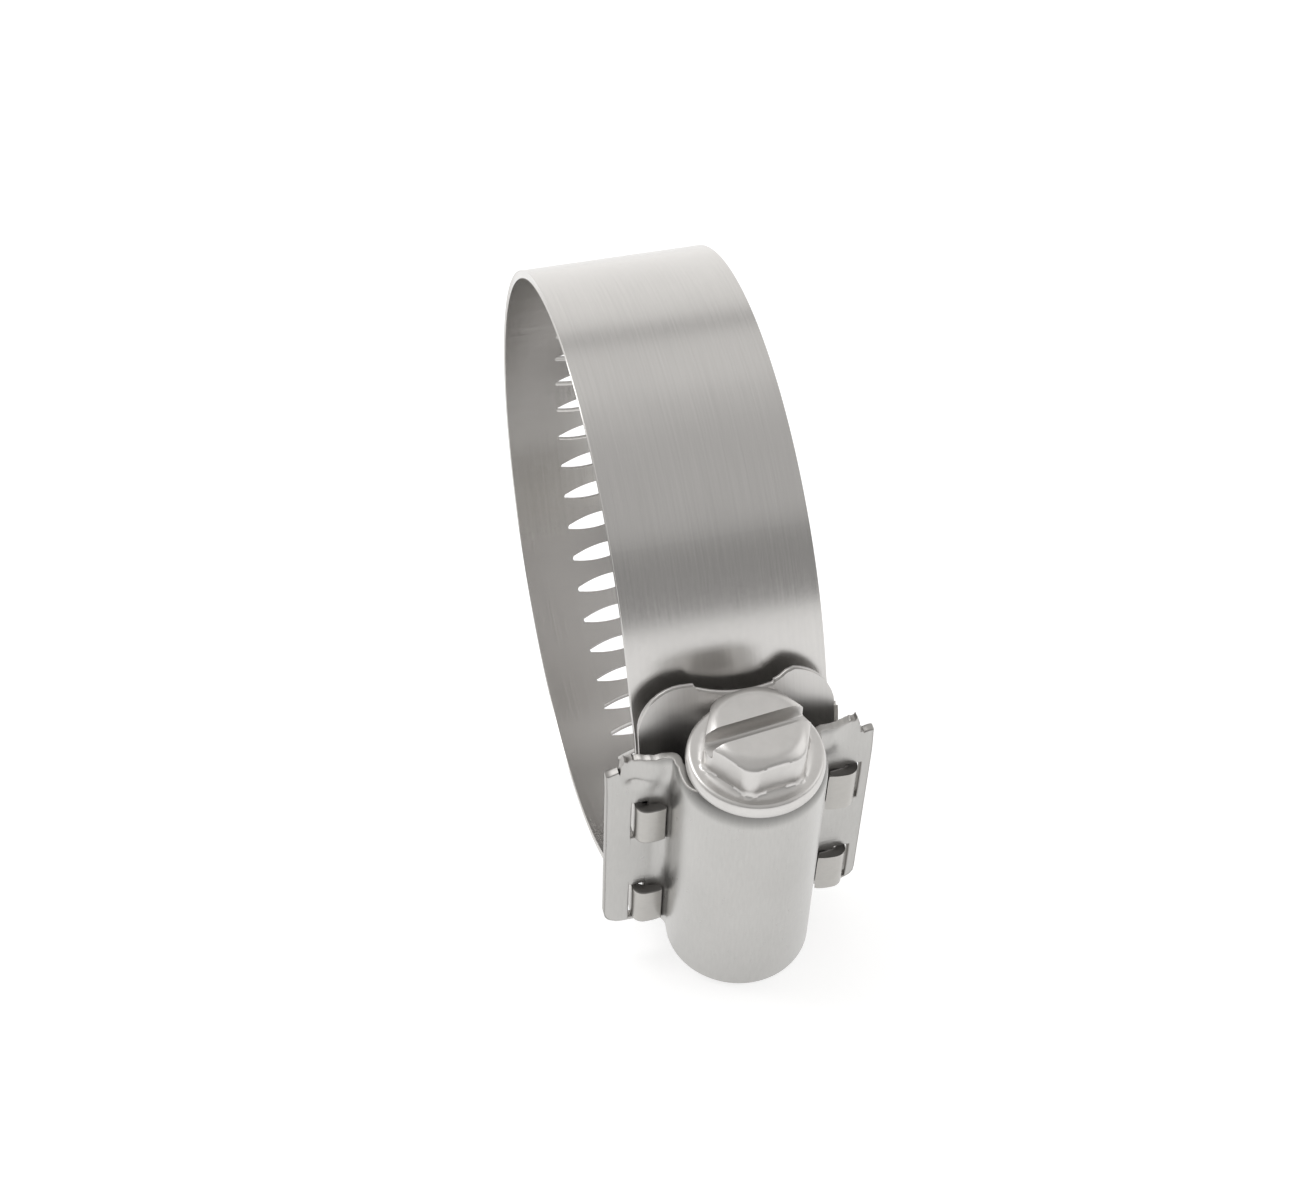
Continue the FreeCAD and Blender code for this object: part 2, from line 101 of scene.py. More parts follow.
# Housing
HOUSING_THICKNESS = 0.56
FLANGE_OUTER_N = 23.24
FLANGE_HALF_WIDTH = 8.87
HOUSING_FOOT_S = -10.0
FLANGE_HEAD_S = 6.45
SHOULDER_S = 7.6
SHOULDER_HALF_WIDTH = 7.9
BARREL_HEAD_S = 9.05
BARREL_CENTRE_N = 25.10
BARREL_RADIUS = 4.85
BARREL_FILLET = 0.95
FOOT_CORNER_RADIUS = 1.3
WINDOW_INNER_Y = 6.65
WINDOW_OUTER_Y = 7.69
WINDOW_GAP_FOOT = 0.04
WINDOW_GAP_HEAD = 0.32
LIP_HOLE_RADIUS = 2.6
LIP_INSET = 0.3
LIP_RECESS = 0.04
BARREL_SIDE_S = 8.5
BARREL_ROLL_S = 7.8
BARREL_ROLL_DEPTH = 0.62
SHOULDER_RAISE = 0.5

# Saddle
SADDLE_THICKNESS = 0.50
SADDLE_START_ANGLE = -27.0
SADDLE_END_ANGLE = 17.0
SADDLE_HALF_WIDTH = 6.6
LEG_OUTER_Y = 7.47
TAB_TIP_Y = 5.55
TAB_WIDTH = 3.45
TAB_STARTS = (-9.60, -0.35)
TAB_SHIFT_Y = 0.53
TAB_FILL = 0.27

# Worm screw
SCREW_N = 25.75
SCREW_FOOT_S = -9.38
THREAD_RADIUS = 3.55
CORE_RADIUS = 2.5
THREAD_TURNS = 6.5
THREAD_CREST_S = 0.578
COLLAR_RADIUS = 4.35
COLLAR_S = 9.10
COLLAR_THICKNESS = 1.0
HEX_HALF_FLATS = 3.175
HEX_CORNER_RADIUS = 3.45
HEAD_TOP_S = 12.9
DRIVER_SLOT_WIDTH = 1.25
DRIVER_SLOT_DEPTH = 1.3
HEAD_TURN = 7.3

# Lean that stands the clamp on its band and on the barrel's lower edge
EDGE_DISTANCE = math.hypot(BARREL_CENTRE_N + BARREL_RADIUS, HOUSING_FOOT_S)
EDGE_ANGLE = math.atan2(HOUSING_FOOT_S, BARREL_CENTRE_N + BARREL_RADIUS)
LEAN = EDGE_ANGLE + math.asin((BORE_RADIUS + BAND_THICKNESS) / EDGE_DISTANCE)


def in_frame(n, y, s):
    """A place in the housing's axes, in millimetres, as a point of the shared frame."""
    x = n * math.cos(LEAN) + s * math.sin(LEAN)
    z = -n * math.sin(LEAN) + s * math.cos(LEAN)
    return Vector((x, y, z)) * MM


# ---------------------------------------------------------------- meshes


def make_object(name, points, faces, uvs=None, sharp_angle=50):
    """Mesh object from points in the shared frame, with sharp edges past an angle."""
    mesh = bpy.data.meshes.new(name)
    mesh.from_pydata(points, [], faces)
    if uvs:
        layer = mesh.uv_layers.new(name="sheet")
        for loop in mesh.loops:
            layer.data[loop.index].uv = uvs[loop.vertex_index]
    mesh.polygons.foreach_set("use_smooth", [True] * len(mesh.polygons))
    mesh.set_sharp_from_angle(angle=math.radians(sharp_angle))
    obj = bpy.data.objects.new(name, mesh)
    bpy.context.scene.collection.objects.link(obj)
    return obj


class Flat:
    """Flat pattern of a sheet: points (a, b) in millimetres, quads, and seams left square."""

    def __init__(self):
        self.points = []
        self.quads = []
        self.seams = set()

    def point(self, a, b):
        self.points.append((a, b))
        return len(self.points) - 1

    def quad(self, *corners):
        distinct = list(dict.fromkeys(corners))
        if len(distinct) > 2:
            self.quads.append(distinct)

    def join(self, row, other):
        """Quads between two rows of points; None marks a place with no sheet."""
        for k in range(len(row) - 1):
            corners = (row[k], row[k + 1], other[k + 1], other[k])
            if None not in corners:
                self.quad(*corners)

    def seam(self, row):
        for k in range(len(row) - 1):
            self.seams.add(frozenset((row[k], row[k + 1])))

    def rim(self):
        """Outline edges, each with the sheet on its left."""
        seen = {}
        for face in self.quads:
            for k, start in enumerate(face):
                seen[(start, face[(k + 1) % len(face)])] = True
        return [edge for edge in seen if (edge[1], edge[0]) not in seen]


EDGE_STEPS = ((0.0, 0.0), (0.55, 0.12), (0.88, 0.45), (1.0, 1.0))


def build_sheet(name, flat, place, thickness, radius, sheared=False):
    """Solid sheet from a flat pattern. place(a, b, height) puts a point in the frame.

    Where its edge is sheared, that edge takes the object's second material.
    """
    rim = flat.rim()
    real = [edge for edge in rim if frozenset(edge) not in flat.seams]
    outward = {}
    for start, end in real:
        da = flat.points[end][0] - flat.points[start][0]
        db = flat.points[end][1] - flat.points[start][1]
        length = math.hypot(da, db) or 1.0
        for corner in (start, end):
            total = outward.get(corner, (0.0, 0.0))
            outward[corner] = (total[0] + db / length, total[1] - da / length)
    points, uvs = [], []

    def add(a, b, height):
        points.append(place(a, b, height))
        uvs.append((a / 10.0, b / 10.0))
        return len(points) - 1

    top, bottom, ladders = {}, {}, {}
    for index, (a, b) in enumerate(flat.points):
        if index not in outward:
            top[index] = add(a, b, thickness)
            bottom[index] = add(a, b, 0.0)
            continue
        out_a, out_b = outward[index]
        size = math.hypot(out_a, out_b) or 1.0
        out_a, out_b = out_a / size, out_b / size
        ladder = []
        for level, sign in ((thickness, -1.0), (0.0, 1.0)):
            rungs = []
            for along, down in EDGE_STEPS:
                shift = radius * (along - 1.0)
                height = level + sign * radius * down
                rungs.append(add(a + out_a * shift, b + out_b * shift, height))
            ladder.append(rungs)
        top[index] = ladder[0][0]
        bottom[index] = ladder[1][0]
        ladders[index] = ladder[0] + ladder[1][::-1]
    faces = [[top[k] for k in face] for face in flat.quads]
    faces += [[bottom[k] for k in reversed(face)] for face in flat.quads]
    for start, end in rim:
        if frozenset((start, end)) in flat.seams:
            side_start = ladders.get(start, [top[start], bottom[start]])
            side_end = ladders.get(end, [top[end], bottom[end]])
            faces.append(side_start + side_end[::-1])
            continue
        one, two = ladders[start], ladders[end]
        for k in range(len(one) - 1):
            faces.append([one[k], one[k + 1], two[k + 1], two[k]])
    sheet = make_object(name, points, faces, uvs)
    if sheared:
        for face in sheet.data.polygons[2 * len(flat.quads):]:
            face.material_index = 1
    return sheet


# ---------------------------------------------------------------- band


def smooth(t):
    t = min(1.0, max(0.0, t))
    return t * t * (3 - 2 * t)


def ring_length(angle):
    """Length along the strip's middle from angle 0, on the bore circle."""
    return RING_MID * math.radians(angle)


TURN_LENGTH = ring_length(360.0 + TANGENT_ANGLE)
STRIP_START = ring_length(ROOT_END_ANGLE)
STRIP_END = TURN_LENGTH + TAIL_MID * math.radians(TAIL_END_ANGLE - TANGENT_ANGLE)
FIRST_SLOT = ring_length(FIRST_SLOT_ANGLE)
LAST_SLOT = FIRST_SLOT + SLOT_PITCH * math.floor((STRIP_END - FIRST_SLOT) / SLOT_PITCH)


def strip_middle(length):
    """Middle of the strip at that length: (n, s) and the outward direction's angle."""
    if length > TURN_LENGTH:
        angle = math.radians(TANGENT_ANGLE) + (length - TURN_LENGTH) / TAIL_MID
        n = TAIL_CENTRE[0] + TAIL_MID * math.cos(angle)
        s = TAIL_CENTRE[1] + TAIL_MID * math.sin(angle)
        return n, s, angle
    angle = length / RING_MID
    span = math.radians(ROOT_STEP_END - ROOT_STEP_START)
    climb = (math.radians(ROOT_STEP_END) - angle) / span
    radius = RING_MID + ROOT_STEP_HEIGHT * smooth(climb)
    slope = 0.0
    if 0.0 < climb < 1.0:
        slope = -ROOT_STEP_HEIGHT * 6 * climb * (1 - climb) / span
    turn = angle - math.atan2(slope, radius)
    return radius * math.cos(angle), radius * math.sin(angle), turn


def on_strip(length, y, height):
    n, s, turn = strip_middle(length)
    rise = height - BAND_THICKNESS / 2
    return in_frame(n + rise * math.cos(turn), y, s + rise * math.sin(turn))


def slot_half(y):
    """Half the slot's width at a distance y from its middle."""
    reach = SLOT_LENGTH / 2 - SLOT_TIP_RADIUS
    y = abs(y)
    if y >= SLOT_LENGTH / 2 - 1e-6:
        return 0.0
    if y > reach:
        return math.sqrt(SLOT_TIP_RADIUS**2 - (y - reach) ** 2)
    rise = SLOT_HALF_WIDTH - SLOT_TIP_RADIUS
    radius = (reach**2 + rise**2) / (2 * rise)
    return math.sqrt(radius**2 - y**2) - (radius - SLOT_HALF_WIDTH)


def strip_columns():
    """Places across the strip: a few to the slot's tip, then closer together in the slot."""
    tip = SLOT_LENGTH / 2
    straight = BAND_WIDTH / 2 - TAIL_CORNER_RADIUS
    side = [straight + TAIL_CORNER_RADIUS * math.cos(math.pi / 2 * k / 9) for k in range(10)]
    side += [3.1, 2.8]
    inside = [tip - SLOT_TIP_RADIUS * (1 - math.cos(math.pi / 2 * k / 5)) for k in range(6)]
    inside += [2.0, 1.6, 1.2, 0.8, 0.4]
    positive = side + inside
    return [-y for y in positive] + [0.0] + positive[::-1]


COLUMNS = strip_columns()
TIP = SLOT_LENGTH / 2 + 1e-6
END_STRETCH = 3.6
END_EAR_Y = 3.9
HALF_ROWS = (0.0, 0.02 / 1.27, 0.3, 0.6, 0.85, 1.0)


def corner_warp(length, y):
    """Draws the strip in towards the tail's rounded corners and its shallow end notch."""
    start = STRIP_END - END_STRETCH
    if length <= start:
        return length
    over = max(0.0, abs(y) - (BAND_WIDTH / 2 - TAIL_CORNER_RADIUS))
    drop = TAIL_CORNER_RADIUS - math.sqrt(max(0.0, TAIL_CORNER_RADIUS**2 - over**2))
    if abs(y) > SLOT_LENGTH / 2 - 1e-6:
        tip = LAST_SLOT - math.copysign(SLOT_LENGTH / 2, y) * math.tan(SLOT_LEAN)
        share = smooth((END_EAR_Y - abs(y)) / (END_EAR_Y - SLOT_LENGTH / 2))
        drop += max(0.0, STRIP_END - tip) * share
    return start + (length - start) * (END_STRETCH - drop) / END_STRETCH


def plain_row(flat, length):
    return [flat.point(corner_warp(length, y), y) for y in COLUMNS]


def add_plain(flat, row, start, end):
    """Rows of plain sheet from a row that exists at start up to end."""
    steps = max(2, round((end - start) / 0.36))
    sliver = 0.02
    stops = [start + sliver]
    stops += [start + (end - start) * k / steps for k in range(1, steps)]
    stops += [end - sliver, end]
    for length in stops:
        new = plain_row(flat, length)
        flat.join(row, new)
        row = new
    return row


def add_slot_cell(flat, row, middle, is_last):
    """One pitch of sheet round a slot. The last one is open at the tail's end."""
    start = middle - SLOT_PITCH / 2
    end = STRIP_END if is_last else middle + SLOT_PITCH / 2

    def edge(y, side):
        lean = y * math.tan(SLOT_LEAN) if abs(y) < TIP else math.copysign(TIP, y) * math.tan(SLOT_LEAN)
        return middle - lean + side * slot_half(y)

    def fresh(low, high, share):
        return [
            flat.point(corner_warp(low(y) + (high(y) - low(y)) * share, y), y) for y in COLUMNS
        ]

    for share in HALF_ROWS[1:]:
        new = fresh(lambda y: start, lambda y: edge(y, -1), share)
        flat.join(row, new)
        row = new
    upper = []
    for index, y in enumerate(COLUMNS):
        inside = abs(y) < SLOT_LENGTH / 2 - 1e-6
        if not inside:
            upper.append(row[index])
        elif is_last:
            upper.append(None)
        else:
            upper.append(flat.point(edge(y, 1), y))
    row = upper
    for share in HALF_ROWS[::-1][1:]:
        new = fresh(lambda y: end, lambda y: edge(y, 1), share)
        if is_last:
            new = [None if row[k] is None else new[k] for k in range(len(new))]
        flat.join(row, new)
        row = new
    return row


def build_strip(name, start, end):
    """Stretch of the strip between two lengths, with every slot whose middle is inside."""
    flat = Flat()
    row = plain_row(flat, start)
    is_tail_end = end >= STRIP_END - 1e-6
    if start > STRIP_START + 1e-6:
        flat.seam(row)
    at = start
    number = 0
    while FIRST_SLOT + number * SLOT_PITCH < end:
        middle = FIRST_SLOT + number * SLOT_PITCH
        number += 1
        if middle < start:
            continue
        if middle - SLOT_PITCH / 2 - at > 0.05:
            row = add_plain(flat, row, at, middle - SLOT_PITCH / 2)
        is_last = is_tail_end and middle + SLOT_PITCH / 2 > STRIP_END
        row = add_slot_cell(flat, row, middle, is_last)
        at = middle + SLOT_PITCH / 2
    if end - at > 0.05:
        row = add_plain(flat, row, at, end)
    if not is_tail_end:
        flat.seam(row)
    return build_sheet(name, flat, on_strip, BAND_THICKNESS, BAND_EDGE_RADIUS)


def hinge_lengths():
    """Lengths along the strip of its bends, from the fixed end to the tail."""
    last = FIRST_SLOT + SLOT_PITCH * (SLOTS_ON_RING - 2.5)
    link = SLOT_PITCH * SLOTS_PER_LINK
    ring = [last - link * k for k in range(LINKS_ON_RING)]
    return [ring_length(ROOT_HINGE_ANGLE)] + ring[::-1] + [last + link]


def link_body(number):
    """Body between bend number - 1 and bend number; 0 is the root, past the last the tail."""
    if number == 0:
        return "root"
    if number == LINKS_ON_RING + 2:
        return "band_tail"
    return "band_link_%02d" % number


def build_band():
    hinges = hinge_lengths()
    reach = SLOT_PITCH
    pieces = []
    start = STRIP_START
    for number, hinge in enumerate(hinges):
        before, after = link_body(number), link_body(number + 1)
        if number == OPEN_JOINT:
            one = build_strip("band_%02d" % number, start, hinge)
            two_end = hinge + SLOT_PITCH
            two = build_strip("band_%02d_far" % number, hinge, two_end)
            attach(one, before)
            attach(two, after)
            pieces += [one, two]
            start = two_end
            continue
        if number == 0:
            end = (hinge + hinges[1]) / 2
        else:
            end = hinge + 2 * SLOT_PITCH
        if number == LINKS_ON_RING + 1:
            end = hinge + SLOT_PITCH
        near = max(start, hinge - reach)
        far = min(end, hinge + reach)
        piece = build_strip("band_%02d" % number, start, end)
        low = on_strip(near, 0.0, BAND_THICKNESS / 2)
        high = on_strip(far, 0.0, BAND_THICKNESS / 2)
        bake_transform(piece)
        pieces.append(piece)
        start = end
    tail = build_strip("band_tail_strip", start, STRIP_END)
    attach(tail, "band_tail")
    pieces.append(tail)
    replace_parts(pieces[0], "band_root")
    for number in range(1, LINKS_ON_RING + 2):
        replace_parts(pieces[min(number, len(pieces) - 2)], link_body(number))
    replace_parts(tail, "band_tail")
    for piece in pieces:
        piece.data.materials.append(BAND_STEEL)
    return pieces


# ---------------------------------------------------------------- housing

FILLET_N = FLANGE_OUTER_N + BARREL_FILLET
FILLET_Y = math.sqrt((BARREL_RADIUS + BARREL_FILLET) ** 2 - (BARREL_CENTRE_N - FILLET_N) ** 2)
BARREL_TURN = math.pi / 2 + math.asin((BARREL_CENTRE_N - FILLET_N) / (BARREL_RADIUS + BARREL_FILLET))
BARREL_ARC = BARREL_RADIUS * BARREL_TURN
FILLET_ARC = BARREL_FILLET * BARREL_TURN


def flange_arc(y):
    """Length along the housing's outer section at which the flange reaches y."""
    return math.copysign(BARREL_ARC + FILLET_ARC + abs(y) - FILLET_Y, y)


def housing_section(length):
    """Outer section at a signed length from the crown: (n, y) and the outward turn."""
    side = math.copysign(1.0, length)
    far = abs(length)
    if far <= BARREL_ARC:
        turn = far / BARREL_RADIUS
        n = BARREL_CENTRE_N + BARREL_RADIUS * math.cos(turn)
        return n, side * BARREL_RADIUS * math.sin(turn), side * turn
    if far <= BARREL_ARC + FILLET_ARC:
        turn = BARREL_TURN - (far - BARREL_ARC) / BARREL_FILLET
        n = FILLET_N - BARREL_FILLET * math.cos(turn)
        return n, side * (FILLET_Y - BARREL_FILLET * math.sin(turn)), side * turn
    return FLANGE_OUTER_N, side * (FILLET_Y + far - BARREL_ARC - FILLET_ARC), 0.0


def dimple(y, s):
    """Shallow dent that the forming tool leaves on the -Y shoulder."""
    reach = math.hypot((y + 6.95) / 0.55, (s - 5.55) / 0.36)
    return -0.30 * math.exp(-reach * reach)


def shoulder_form(y, s):
    """Shoulder swept up to the barrel and rolled down towards its sheared end."""
    over = smooth((s - 4.2) / 3.0)
    swept = SHOULDER_RAISE * smooth((7.7 - abs(y)) / 2.2)
    return over * (swept - 0.24 * smooth((abs(y) - 5.6) / 1.6))


def on_housing(length, s, height):
    n, y, turn = housing_section(length)
    rise = height - HOUSING_THICKNESS
    dent = 0.0
    if abs(length) > BARREL_ARC:
        settled = smooth((abs(length) - BARREL_ARC) / FILLET_ARC)
        dent = settled * (dimple(y, s) + shoulder_form(y, s))
    if abs(length) < BARREL_ARC:
        over = max(0.0, (s - BARREL_ROLL_S) / (BARREL_HEAD_S - BARREL_ROLL_S))
        rise -= BARREL_ROLL_DEPTH * over * over
    return in_frame(n + rise * math.cos(turn) + dent, y + rise * math.sin(turn), s)


def burr(y):
    """Torn teeth on the sheared step beside each shoulder."""
    far = abs(y)
    fade = math.exp(-(((far - 7.75) / 0.55) ** 2))
    teeth = 0.20 * math.sin(far * 15.0) + 0.15 * math.sin(far * 37.0 + y)
    return fade * teeth + 0.03 * math.sin(y * 11.0)


def head_edge(y):
    """Where the sheet ends towards the head."""
    far = abs(y)
    fall = smooth((far - 4.1) / (BARREL_RADIUS - 4.1))
    barrel = BARREL_HEAD_S + (BARREL_SIDE_S - BARREL_HEAD_S) * fall
    if far < BARREL_RADIUS:
        return barrel
    slope = (far - BARREL_RADIUS) / (SHOULDER_HALF_WIDTH - BARREL_RADIUS)
    shoulder = barrel + (SHOULDER_S - barrel) * min(1.0, slope)
    step = smooth((far - SHOULDER_HALF_WIDTH + 0.06) / 0.12)
    return shoulder + (FLANGE_HEAD_S - shoulder) * step + burr(y)


def foot_edge(y):
    over = max(0.0, abs(y) - (FLANGE_HALF_WIDTH - FOOT_CORNER_RADIUS))
    return HOUSING_FOOT_S + FOOT_CORNER_RADIUS - math.sqrt(max(0.0, FOOT_CORNER_RADIUS**2 - over**2))


def build_housing():
    flat = Flat()
    lengths = [BARREL_ARC * k / 28 for k in range(28)]
    lengths += [BARREL_ARC + FILLET_ARC * k / 7 for k in range(8)]
    lengths = [-x for x in lengths[:0:-1]] + lengths
    window_y = {}
    for side in (-1, 1):
        inner = side * WINDOW_INNER_Y + TAB_SHIFT_Y
        outer = side * WINDOW_OUTER_Y + TAB_SHIFT_Y
        window_y[side] = (inner, outer)
        stops = [5.85, 6.1, 6.3, 6.45, 6.6, 6.75, 6.9, 7.05, 7.2, 7.35]
        stops += [7.5, 7.62, 7.7, 7.78, 7.86, 7.95, 8.05, 8.4, 8.6, 8.8]
        stops += [abs(inner), abs(outer), FLANGE_HALF_WIDTH]
        extra = sorted(flange_arc(side * y) for y in stops if y > FILLET_Y + 0.08)
        lengths = lengths + extra if side > 0 else extra + lengths
    window_s = []
    for start in TAB_STARTS:
        window_s.append((start - WINDOW_GAP_FOOT, start + TAB_WIDTH + WINDOW_GAP_HEAD))
    body = [-9.64, -8.6, -7.4, -6.6, -5.83, -5.2, -4.2, -3.2, -2.2, -1.2, -0.39, 0.6]
    body += [1.6, 2.6, 3.42, 3.9, 4.3, 4.7, 5.0, 5.2, 5.4, 5.6, 5.8, 6.0]
    shares = [0.2, 0.4, 0.55, 0.66, 0.76, 0.85, 0.93, 1.0]
    rows = []

    def row(make):
        rows.append([flat.point(a, make(housing_section(a)[1])) for a in lengths])

    row(foot_edge)
    for level in body:
        row(lambda y: max(level, foot_edge(y) + 0.02))
    for share in shares:
        row(lambda y: body[-1] + (head_edge(y) - body[-1]) * share)
    stations = [HOUSING_FOOT_S] + body

    def in_window(number, column):
        if number + 1 >= len(stations):
            return False
        middle_s = (stations[number] + stations[number + 1]) / 2
        middle_y = housing_section((lengths[column] + lengths[column + 1]) / 2)[1]
        side = 1 if middle_y > 0 else -1
        low, high = sorted(window_y[side])
        is_across = low < middle_y < high
        return is_across and any(a < middle_s < b for a, b in window_s)

    for number in range(len(rows) - 1):
        one, two = rows[number], rows[number + 1]
        for column in range(len(lengths) - 1):
            if not in_window(number, column):
                flat.quad(one[column], one[column + 1], two[column + 1], two[column])
    shell = build_sheet("housing_shell", flat, on_housing, HOUSING_THICKNESS, 0.09, sheared=True)
    lip = build_barrel_lip()
    for piece in (shell, lip):
        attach(piece, "root")
        piece.data.materials.append(HOUSING_STEEL)
        piece.data.materials.append(HOUSING_EDGE)
    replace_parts(shell, "housing")
    return [shell, lip]


def build_barrel_lip():
    """Turned-in end wall that keeps the screw from leaving the barrel downwards."""
    flat = Flat()
    outer = BARREL_RADIUS - LIP_INSET
    offset = SCREW_N - BARREL_CENTRE_N
    steps = 40
    rows = []
    for ring in range(5):
        row = []
        for k in range(steps + 1):
            turn = -BARREL_TURN + 2 * BARREL_TURN * k / steps
            across = offset * math.sin(turn)
            hole = offset * math.cos(turn) + math.sqrt(LIP_HOLE_RADIUS**2 - across**2)
            radius = outer + (hole - outer) * ring / 4
            row.append(flat.point(turn, radius))
        rows.append(row)
    for one, two in zip(rows[1:], rows[:-1]):
        flat.join(one, two)

    def place(turn, radius, height):
        n = BARREL_CENTRE_N + radius * math.cos(turn)
        return in_frame(n, radius * math.sin(turn), HOUSING_FOOT_S + LIP_RECESS + height)

    return build_sheet("housing_end_lip", flat, place, HOUSING_THICKNESS, 0.02)


# ---------------------------------------------------------------- saddle


def build_saddle():
    pieces = [build_saddle_plate()]
    for number, start in enumerate(TAB_STARTS):
        for side in (-1, 1):
            label = "left" if side < 0 else "right"
            pieces.append(build_tab("saddle_tab_%s_%d" % (label, number + 1), start, side))
    for piece in pieces:
        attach(piece, "root")
        piece.data.materials.append(SADDLE_STEEL)
        # Second material: the tabs' sheared edges, partly real rough shear and partly painted shade.
        piece.data.materials.append(SHEARED_AND_SHADED_STEEL)
    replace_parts(pieces[0], "saddle")
    return pieces


def build_saddle_plate():
    flat = Flat()
    columns = [SADDLE_HALF_WIDTH * k / 10 for k in range(-10, 11)]
    span = SADDLE_END_ANGLE - SADDLE_START_ANGLE
    steps = 44
    middle_radius = BORE_RADIUS + SADDLE_THICKNESS / 2
    row = None
    for k in range(steps + 1):
        angle = SADDLE_START_ANGLE + span * k / steps
        s = middle_radius * math.sin(math.radians(angle))
        in_leg = any(start - 0.1 < s < start + TAB_WIDTH + 0.1 for start in TAB_STARTS)
        stretch = (LEG_OUTER_Y - 0.1) / SADDLE_HALF_WIDTH if in_leg else 1.0
        length = middle_radius * math.radians(angle)
        new = [flat.point(length, y * (stretch if abs(y) > 6.0 else 1.0)) for y in columns]
        if row:
            flat.join(row, new)
        row = new

    def place(length, y, height):
        angle = length / middle_radius
        radius = BORE_RADIUS + height
        return in_frame(radius * math.cos(angle), y + TAB_SHIFT_Y, radius * math.sin(angle))

    return build_sheet("saddle_plate", flat, place, SADDLE_THICKNESS, 0.08)


def tab_middle():
    """Middle line of a leg and its folded tab as (n, y) points, from the leg's foot up."""
    seat = FLANGE_OUTER_N + 0.03
    half = SADDLE_THICKNESS / 2
    leg_y = LEG_OUTER_Y - half
    bend = Vector((seat - 0.25, leg_y, 0))
    crown = Vector((seat + half + 0.14, 6.62, 0))
    tip = Vector((seat + half + 0.02, TAB_TIP_Y, 0))
    bend_pull = bend + Vector((0.42, 0, 0))
    crown_pull = crown + Vector((0, 0.36, 0))
    fold = interpolate_bezier(bend, bend_pull, crown_pull, crown, 12)
    slope_pull = crown - Vector((0, 0.45, 0))
    tip_pull = tip + Vector((0.11, 0.35, 0))
    slope = interpolate_bezier(crown, slope_pull, tip_pull, tip, 9)
    return [(p.x, p.y) for p in fold + slope[1:]]


def build_tab(name, start, side):
    middle = tab_middle()
    leg_foot = 6
    reach = [0.0]
    for one, two in zip(middle, middle[1:]):
        reach.append(reach[-1] + math.dist(one, two))
    flat = Flat()
    rows = []
    for k in range(7):
        s = start + TAB_WIDTH * k / 6
        foot_n = math.sqrt((BORE_RADIUS + 0.2) ** 2 - s * s)
        leg = middle[0][0] - foot_n
        row = [flat.point(-leg * (1 - j / leg_foot), s) for j in range(leg_foot)]
        row += [flat.point(length, s) for length in reach]
        rows.append(row)
    for one, two in zip(rows[1:], rows[:-1]):
        if side > 0:
            flat.join(one, two)
        else:
            flat.join(two, one)

    def place(length, s, height):
        if length <= 0:
            n, y, dn, dy = middle[0][0] + length, middle[0][1], 1.0, 0.0
        else:
            k = max(j for j in range(len(reach) - 1) if reach[j] <= length + 1e-9)
            share = (length - reach[k]) / (reach[k + 1] - reach[k])
            before, after = middle[max(0, k - 1)], middle[min(len(middle) - 1, k + 2)]
            one, two = middle[k], middle[k + 1]
            n = one[0] + (two[0] - one[0]) * share
            y = one[1] + (two[1] - one[1]) * share
            first = (two[0] - before[0], two[1] - before[1])
            second = (after[0] - one[0], after[1] - one[1])
            dn = first[0] * (1 - share) + second[0] * share
            dy = first[1] * (1 - share) + second[1] * share
        size = math.hypot(dn, dy)
        rise = height - SADDLE_THICKNESS / 2
        if rise < 0 < length:
            rise -= TAB_FILL * math.sin(math.pi * (length / reach[-1]) ** 0.6)
        n += -dy / size * rise
        y += dn / size * rise
        return in_frame(n, side * y + TAB_SHIFT_Y, s)

    return build_sheet(name, flat, place, SADDLE_THICKNESS, 0.09, sheared=True)


# ---------------------------------------------------------------- worm screw


def on_screw(radius, turn, s):
    return in_frame(SCREW_N + radius * math.cos(turn), radius * math.sin(turn), s)


def hex_radius(turn):
    """Distance from the axis to a hexagon with corners on the y axis."""
    sixth = math.pi / 3
    off = (turn + sixth / 2) % sixth - sixth / 2
    return HEX_HALF_FLATS / math.cos(off)


